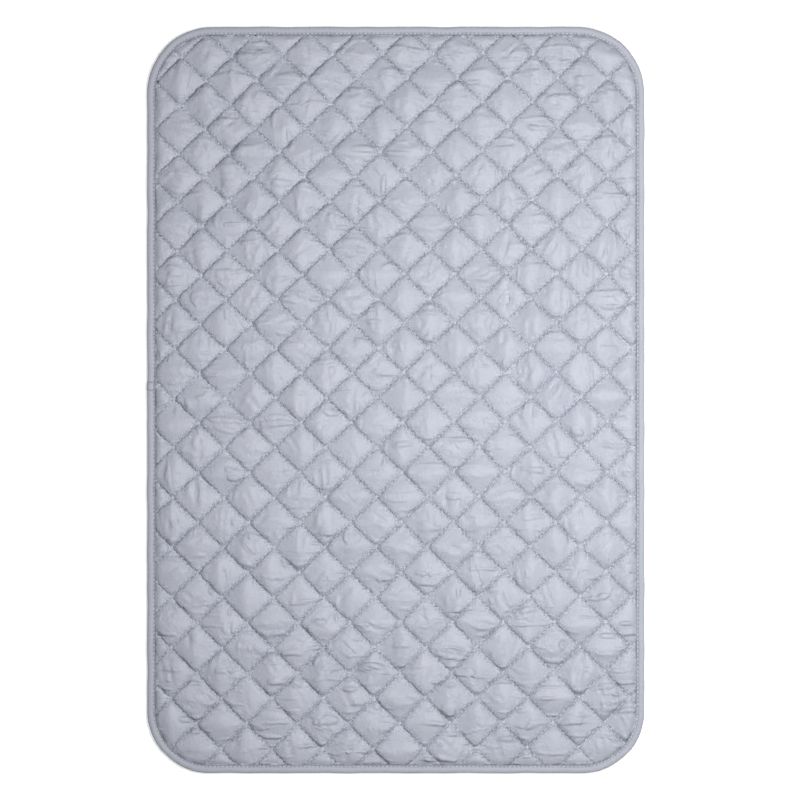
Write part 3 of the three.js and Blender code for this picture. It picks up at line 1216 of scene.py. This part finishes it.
def tape_tree() -> bpy.types.NodeTree:
    """Builds the tree that folds the tape's section round the edge and puckers it between stitches.

    Returns:
        The tree.
    """
    edge = ("Stitch", "Pucker", "Crease", "Crease length", "Corner crease", "Corner x", "Corner y", "Seed")
    join = ("Lap start", "Lap end", "Lap rise", "Outer share", "Groove share")
    tree, given = node_tree(
        "folded_tape", {"Object": ("Section",), "Float": edge + join, "Material": ("Material",)}
    )
    add, take = partial(add_node, tree), given.outputs
    section = add("GeometryNodeObjectInfo", {"Object": take["Section"]}).outputs["Geometry"]
    captured = []
    for name, curve, measure in (("along", take["Geometry"], "Length"), ("across", section, "Factor")):
        walked = add("GeometryNodeSplineParameter").outputs[measure]
        marked = add("GeometryNodeCaptureAttribute")
        marked.capture_items.new("FLOAT", name)
        tree.links.new(curve, marked.inputs[0])
        tree.links.new(walked, marked.inputs[1])
        captured.append(marked)
    path, profile = captured
    tube = add(TUBE, {"Curve": path, "Profile Curve": profile})
    along, across = path.outputs[1], profile.outputs[1]
    # Only the upper side of the fold moves, most of all on the roll.
    share = add(MATH, {0: across, 1: take["Outer share"]}, operation="DIVIDE")
    rise, fall = (
        add(MAP_RANGE, {0: share, 1: none, 2: full}, interpolation_type="SMOOTHSTEP")
        for none, full in ((0.06, 0.26), (0.56, 0.44))
    )
    roll = add(MATH, {0: rise, 1: fall}, operation="MULTIPLY")
    cycle = add(MATH, {0: along, 1: take["Stitch"]}, operation="DIVIDE")
    angle = add(MATH, {0: cycle, 1: 2 * math.pi}, operation="MULTIPLY")
    wave = add(MATH, {0: angle}, operation="COSINE")
    puff = add(MATH, {0: wave, 1: take["Pucker"]}, operation="MULTIPLY")
    place = add("GeometryNodeInputPosition")
    rate = add(MATH, {0: 1.0, 1: take["Crease length"]}, operation="DIVIDE")
    ripples = {"Vector": place, "W": take["Seed"], "Scale": rate, "Detail": 2.0}
    noise = add(NOISE, ripples, noise_dimensions="4D")
    level = add(MATH, {0: noise, 1: 0.5}, operation="SUBTRACT")
    # The tape ruffles more where it turns a corner.
    parts = add(SEPARATE, {0: place})
    turning = []
    for axis in ("x", "y"):
        from_middle = add(MATH, {0: parts.outputs[axis.upper()]}, operation="ABSOLUTE")
        turning.append(add(MATH, {0: from_middle, 1: take["Corner " + axis]}, operation="GREATER_THAN"))
    corner = add(MATH, dict(enumerate(turning)), operation="MULTIPLY")
    ruffled = add(MATH, {0: corner, 1: take["Corner crease"], 2: take["Crease"]}, operation="MULTIPLY_ADD")
    creased = add(MATH, {0: level, 1: ruffled, 2: puff}, operation="MULTIPLY_ADD")
    rolled = add(MATH, {0: creased, 1: roll}, operation="MULTIPLY")
    # The upper side stands proud where the tape's ends lap.
    past = add(MATH, {0: along, 1: take["Lap start"]}, operation="GREATER_THAN")
    before = add(MATH, {0: along, 1: take["Lap end"]}, operation="LESS_THAN")
    outer = add(MATH, {0: share, 1: 0.56}, operation="LESS_THAN")
    both = add(MATH, {0: past, 1: before}, operation="MULTIPLY")
    lapped = add(MATH, {0: both, 1: outer}, operation="MULTIPLY")
    amount = add(MATH, {0: lapped, 1: take["Lap rise"], 2: rolled}, operation="MULTIPLY_ADD")
    facing = add("GeometryNodeInputNormal").outputs[0]
    shift = add(VECTOR_MATH, {0: facing, "Scale": amount}, operation="SCALE")
    moved = add("GeometryNodeSetPosition", {"Geometry": tube, "Offset": shift})
    # Painted shade: the tape's inner rim and the two ends of the lap are darkened as fine lines.
    rim = add(MAP_RANGE, {0: share, 1: 0.05, 2: 0.02})
    gaps = []
    for end in ("Lap start", "Lap end"):
        apart = add(MATH, {0: along, 1: take[end]}, operation="SUBTRACT")
        gaps.append(add(MATH, {0: apart}, operation="ABSOLUTE"))
    nearest = add(MATH, dict(enumerate(gaps)), operation="MINIMUM")
    step = add(MAP_RANGE, {0: nearest, 1: 0.4 * MM, 2: 0.15 * MM, 4: 0.34})
    ends = add(MATH, {0: rim, 1: step}, operation="MAXIMUM")
    # Painted shade: the needle holes in the groove, between the stitches, are darkened.
    beside = add(MATH, {0: share, 1: take["Groove share"]}, operation="SUBTRACT")
    off = add(MATH, {0: beside}, operation="ABSOLUTE")
    deep = add(MAP_RANGE, {0: off, 1: 0.045, 2: 0.005})
    hole = add(MAP_RANGE, {0: wave, 1: -0.4, 2: 0.9, 3: 0.34, 4: 0.8})
    holes = add(MATH, {0: deep, 1: hole}, operation="MULTIPLY")
    painted_shade = add(MATH, {0: ends, 1: holes}, operation="MAXIMUM")
    # The painted shade is kept on the tape as its cleft shade attribute.
    stored = add(
        "GeometryNodeStoreNamedAttribute",
        {"Geometry": moved, "Name": "cleft", "Value": painted_shade},
        data_type="FLOAT",
        domain="POINT",
    )
    end_tree(tree, add(SMOOTH, {"Geometry": stored}), take["Material"])
    return tree


# Edge binding


@dataclass
class EdgeBinding:
    """The tape folded over the pad's edge and sewn down through all the plies.

    The edge's wander is a sum of waves, each given by its turns round the pad, its share and where it
    starts.
    """

    name: str = "edge_binding_tape"
    node: str = "edge_binding"
    slot: str = "binding_tape"
    flat_width: float = 20.0
    thickness: float = 4.75
    seam_inset: float = 5.35
    seam_height: float = 3.6
    pitch: float = 3.3
    steps: int = 3
    lap_y: float = 11.0
    lap_length: float = 6.2
    lap_rise: float = 0.32
    lap_step: float = 0.1
    lap_clear: float = 0.45
    wander: float = 0.22
    waves: tuple[tuple[float, float, float], ...] = ((31, 1.0, 0.6), (47, 0.8, 2.2), (73, 0.6, 0.0))
    pucker: float = 0.1
    crease: float = 0.4
    crease_length: float = 5.0
    corner_crease: float = 0.9
    corner_reach: float = 42.0
    seed: float = 3.0

    def stitches(self) -> int:
        """Counts the whole stitches round the edge."""
        return round(OUTLINE.perimeter() / self.pitch)

    def lap_middle(self) -> float:
        """Finds how far along the edge the tape's ends lap, on the left side."""
        return sum(run[0] for run in OUTLINE.runs()[:4]) + OUTLINE.length / 2 - OUTLINE.radii[1] - self.lap_y

    def path(self) -> tuple[Points, Points, float]:
        """Walks the outer edge, with its slight wander and closer steps at the lap.

        Returns:
            The points of the path, how far along it the lap starts and ends, and its whole length.
        """
        count = self.stitches() * self.steps
        lengths = list(np.arange(count) * OUTLINE.perimeter() / count)
        ends = [self.lap_middle() + part * self.lap_length for part in (-0.5, 0.5)]
        for end in ends:
            lengths = [at for at in lengths if abs(at - end) > self.lap_clear]
            lengths += [end - self.lap_step, end + self.lap_step]
        lengths.sort()
        listed = []
        for at in lengths:
            round_trip = 2 * math.pi * at / OUTLINE.perimeter()
            sway = sum(share * math.sin(turns * round_trip + start) for turns, share, start in self.waves)
            listed.append((*OUTLINE.at(at, self.wander * (1 + 0.5 * sway)), 0.0))
        points = np.array(listed)
        walked = np.linalg.norm(np.roll(points, -1, axis=0) - points, axis=1).cumsum()
        return points, np.interp(ends, lengths[1:], walked[:-1]), float(walked[-1])

    def section(self) -> tuple[Points, float, float]:
        """Draws the folded tape's section, across and up.

        Returns:
            The closed section, inward distances below zero, the outer side's share of its length, and
            how much of the outer side lies before the stitch groove.
        """
        groove = (self.seam_inset, self.seam_height)
        upper = [
            (6.65, 3.98), (6.74, 4.2), (6.65, 4.42), (6.4, 4.5), (6.05, 4.4), (5.7, 4.0), groove,
            (5.0, 4.0), (4.65, 4.45), (4.2, 4.75), (3.5, 4.93), (2.6, 5.0), (1.7, 4.92), (0.95, 4.7),
            (0.45, 4.3), (0.12, 3.6), (0.0, 2.4),
        ]
        lining = [
            (6.25, 3.88), (5.7, 3.45), (self.seam_inset, 3.2), (4.9, 3.5), (4.3, 4.1), (3.4, 4.32),
            (2.5, 4.38), (1.6, 4.2), (0.9, 3.6), (0.66, 2.4),
        ]
        lower = [(inset, max(self.thickness - height, 0.0)) for inset, height in upper[-2::-1]]
        under = [(inset, self.thickness - height) for inset, height in lining]
        outer = np.array(upper + lower)
        loop = np.concatenate([outer, np.array(under + lining[-2::-1])])
        steps = np.linalg.norm(np.diff(outer, axis=0), axis=1)
        before = steps[: upper.index(groove)].sum()
        whole = np.linalg.norm(np.diff(np.concatenate([loop, loop[:1]]), axis=0), axis=1).sum()
        section = np.column_stack([-loop[:, 0], -loop[:, 1], np.zeros(len(loop))])
        return section, float(steps.sum() / whole), float(before / steps.sum())

    def build(self) -> bpy.types.Object:
        """Folds the tape round the edge.

        Returns:
            The finished piece.
        """
        loop, share, groove = self.section()
        section = make_path("tape_section", [loop], True)
        path, (start, end), whole = self.path()
        sizes = {
            "Stitch": whole / self.stitches(),
            "Pucker": self.pucker,
            "Crease": self.crease,
            "Crease length": self.crease_length,
            "Corner crease": self.corner_crease,
            "Corner x": OUTLINE.width / 2 - self.corner_reach,
            "Corner y": OUTLINE.length / 2 - self.corner_reach,
            "Lap start": float(start),
            "Lap end": float(end),
            "Lap rise": self.lap_rise,
        }
        values = {name: size * MM for name, size in sizes.items()}
        values |= {"Section": section, "Outer share": share, "Groove share": groove}
        values |= {"Seed": self.seed, "Material": BIAS_TAPE.material()}
        piece = run_tree(self.name, make_path("edge_path", [path], True), tape_tree(), values)
        bpy.data.objects.remove(section)
        return fit_piece(piece, self.node)

    def seam_points(self, height: float) -> Points:
        """Finds the middle of every stitch of the binding's seam.

        Args:
            height: how high the thread lies.

        Returns:
            The points, counter-clockwise.
        """
        count = self.stitches()
        middles = (np.arange(count) + 0.5) * OUTLINE.perimeter() / count
        return np.array([(*OUTLINE.at(at, self.seam_inset + self.wander), height) for at in middles])


# Stitching


@dataclass(frozen=True)
class Thread:
    """One of the two threads: its side of the pad, and how high it lies in the quilting and the binding."""

    name: str
    side: Side
    quilting: float
    binding: float


THREADS = (Thread("needle", Side.FACE, 3.42, 3.95), Thread("bobbin", Side.BACK, 1.28, 0.62))


@dataclass
class Stitching:
    """The stitches of both threads, made by one tree."""

    tree: bpy.types.NodeTree
    material: bpy.types.Material
    slot: str = "sewing_thread"
    thickness: float = 0.5
    arch: float = 0.1
    sink: float = 0.7
    slant: float = 0.22
    row_end: float = 6.3
    crossing_rise: float = 0.36
    quilting_share: float = 0.55
    binding_share: float = 0.8

    def quilting(self, rows: Rows, height: float, crossing_rise: float) -> list[Points]:
        """Finds the middle of every stitch of the quilting rows, which end under the binding.

        Args:
            rows: the direction of the rows.
            height: how high the thread lies in the seam.
            crossing_rise: how much higher it passes over the other rows' thread.

        Returns:
            The points of each row.
        """
        reach, per_side = LATTICE.reach, LATTICE.stitches
        marks = np.arange(-reach * per_side, reach * per_side + 1)
        listed = []
        for row in range(-reach, reach + 1):
            fixed = np.full(len(marks), float(row))
            run = marks / per_side
            x, y = LATTICE.place(run, fixed) if rows is Rows.RISING else LATTICE.place(fixed, run)
            inside = OUTLINE.depth(x, y) > self.row_end
            if inside.sum() < 2:
                continue
            z = height + np.where(marks % per_side == 0, crossing_rise, 0.0)
            listed.append(np.column_stack([x, y, z])[inside])
        return listed

    def sew(
        self, name: str, node: str, lines: list[Points], closed: bool, length: float, side: Side, seed: int
    ) -> bpy.types.Object:
        """Sets a stitch on every point of some rows.

        Args:
            name: the piece's name.
            node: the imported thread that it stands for.
            lines: the middles of the stitches, row by row.
            closed: whether a row meets its own start.
            length: the length of a stitch from hole to hole.
            side: the side of the pad, which is the way that the thread arches.
            seed: the seed of the stitches' slight turns.

        Returns:
            The finished piece.
        """
        values = {
            "Length": length * MM,
            "Thickness": self.thickness * MM,
            "Arch": side.value * self.arch * MM,
            "Sink": side.value * self.sink * MM,
            "Slant": self.slant,
            "Seed": seed,
            "Material": self.material,
        }
        piece = run_tree(name, make_path(name + "_path", lines, closed), self.tree, values)
        return fit_piece(piece, node)

    def sew_pad(self, binding: EdgeBinding) -> None:
        """Sews the quilting rows and then the binding's seam.

        Args:
            binding: the tape, which knows its own seam.
        """
        length = self.quilting_share * math.hypot(LATTICE.width, LATTICE.length) / 2 / LATTICE.stitches
        seed = 0
        for thread in THREADS:
            for rows, rise in ((Rows.RISING, 0.0), (Rows.FALLING, self.crossing_rise)):
                seed += 1
                lines = self.quilting(rows, thread.quilting, thread.side.value * rise)
                name, node = (f"{thread.name}_{part}_{rows.value}" for part in ("stitches", "thread"))
                self.sew(name, node, lines, False, length, thread.side, seed)
        edge_length = self.binding_share * OUTLINE.perimeter() / binding.stitches()
        for thread in THREADS:
            seed += 1
            lines = [binding.seam_points(thread.binding)]
            name, node = (f"binding_{thread.name}_{part}" for part in ("stitches", "thread"))
            self.sew(name, node, lines, True, edge_length, thread.side, seed)


# Studio


@dataclass
class Studio:
    """White floor, one large soft lamp above the right of the pad, even fill and the camera overhead."""

    height: float = 6.0
    view_width: float = 0.6431
    centre_x: float = 0.0033
    lamp_place: tuple[float, float, float] = (0.25, 0.03, 0.97)
    lamp_size: float = 0.3
    lamp_power: float = 9.1
    fill: float = 0.13
    floor_reach: float = 6000.0
    floor_drop: float = 0.2
    floor_glow: float = 0.6

    def camera(self) -> None:
        """Puts the camera straight above, with a long lens, as the photo has no perspective."""
        lens = bpy.data.cameras.new("overhead_camera")
        lens.sensor_width = 36.0
        lens.lens = lens.sensor_width * self.height / self.view_width
        lens.clip_end = 100.0
        placed = link_object("overhead_camera", lens)
        placed.location = (self.centre_x, 0.0, self.height)
        bpy.context.scene.camera = placed

    def lights(self) -> None:
        """Sets the lamp and the fill, at a level where a colour shows about as it is written."""
        lamp = bpy.data.lights.new("soft_lamp", "AREA")
        lamp.size = self.lamp_size
        lamp.energy = self.lamp_power
        link_object("soft_lamp", lamp).location = self.lamp_place
        world = bpy.data.worlds.new("white_room")
        world.use_nodes = True
        tree = world.node_tree
        tree.nodes.clear()
        fill, backdrop = (
            add_node(tree, "ShaderNodeBackground", {"Color": linear(WHITE), "Strength": strength})
            for strength in (self.fill, 1.0)
        )
        mixed = add_node(tree, "ShaderNodeMixShader", {0: self.seen_rays(tree), 1: fill, 2: backdrop})
        add_node(tree, "ShaderNodeOutputWorld", {"Surface": mixed})
        bpy.context.scene.world = world

    def seen_rays(self, tree: bpy.types.NodeTree) -> bpy.types.Node:
        """Marks the rays that show the backdrop itself.

        Args:
            tree: the floor's or the world's tree.

        Returns:
            A node that gives 1 for camera, glossy and transmission rays.
        """
        rays = add_node(tree, "ShaderNodeLightPath").outputs
        first = {0: rays["Is Camera Ray"], 1: rays["Is Glossy Ray"]}
        either = add_node(tree, MATH, first, operation="MAXIMUM")
        return add_node(tree, MATH, {0: either, 1: rays["Is Transmission Ray"]}, operation="MAXIMUM")

    def floor(self) -> None:
        """Lays the white floor, which keeps the pad's faint shadow."""
        turns = ((-1, -1), (1, -1), (1, 1), (-1, 1))
        reach, drop = self.floor_reach, self.floor_drop
        corners = np.array([(x * reach, y * reach, -drop) for x, y in turns])
        paint, surface = new_material(
            "matt_white_floor_paint",
            {"Base Color": linear("f4f4f4"), "Roughness": 0.9, "Emission Color": linear(WHITE)},
        )
        tree = paint.node_tree
        glow = add_node(tree, MATH, {0: self.seen_rays(tree), 1: self.floor_glow}, operation="MULTIPLY")
        tree.links.new(glow.outputs[0], surface.inputs["Emission Strength"])
        make_piece("studio_floor", corners, [[0, 1, 2, 3]], paint)


# The whole pad


def main() -> None:
    """Builds the pad piece by piece and reports each one."""
    logging.basicConfig(level=logging.INFO, format="%(message)s")
    bpy.context.scene.view_settings.view_transform = "Standard"
    studio = Studio()
    studio.camera()
    studio.lights()
    studio.floor()

    face = QuiltedCloth(
        name="face_cloth_quilted",
        node="face_cloth",
        slot="coated_cotton",
        side=Side.FACE,
        finish=FACE_COTTON,
        lines=(0, 0.42, 1, 2, 3, 4, 5, 6, 7, 8, 9, 10, 11, 12, 13, 13.58, 14),
        seam=3.2,
        loft=3.4,
        shoulder=3.0,
        spare=(0.05, 0.1),
        cross_spare=(0.01, 0.04),
        crease=0.9,
        pull=Pull(pressure=0.04),
        dip=0.5,
        pucker=0.42,
    )
    back = QuiltedCloth(
        name="backing_cloth_quilted",
        node="backing_cloth",
        slot="backing_cotton",
        side=Side.BACK,
        finish=BACKING_COTTON,
        lines=(0, 0.42, 1, 3, 5, 7, 9, 11, 13, 13.58, 14),
        seam=1.5,
        loft=1.6,
        shoulder=4.0,
        spare=(0.01, 0.03),
        cross_spare=(0.0, 0.015),
        crease=0.3,
        pull=Pull(pressure=0.05),
        floor=0.0,
        seed=19,
    )
    grids = []
    for cloth in (face, back):
        grid = cloth.lay_grid()
        cloth.settle(grid)
        grids.append(grid)
    face_piece = face.build(grids[0])
    back_piece = back.build(grids[1])
    filling = Wadding().build(face, grids[0], back, grids[1])

    binding = EdgeBinding()
    tape = binding.build()

    stitching = Stitching(stitch_tree(), SEWING_THREAD.material())
    stitching.sew_pad(binding)


if __name__ == "__main__":
    main()
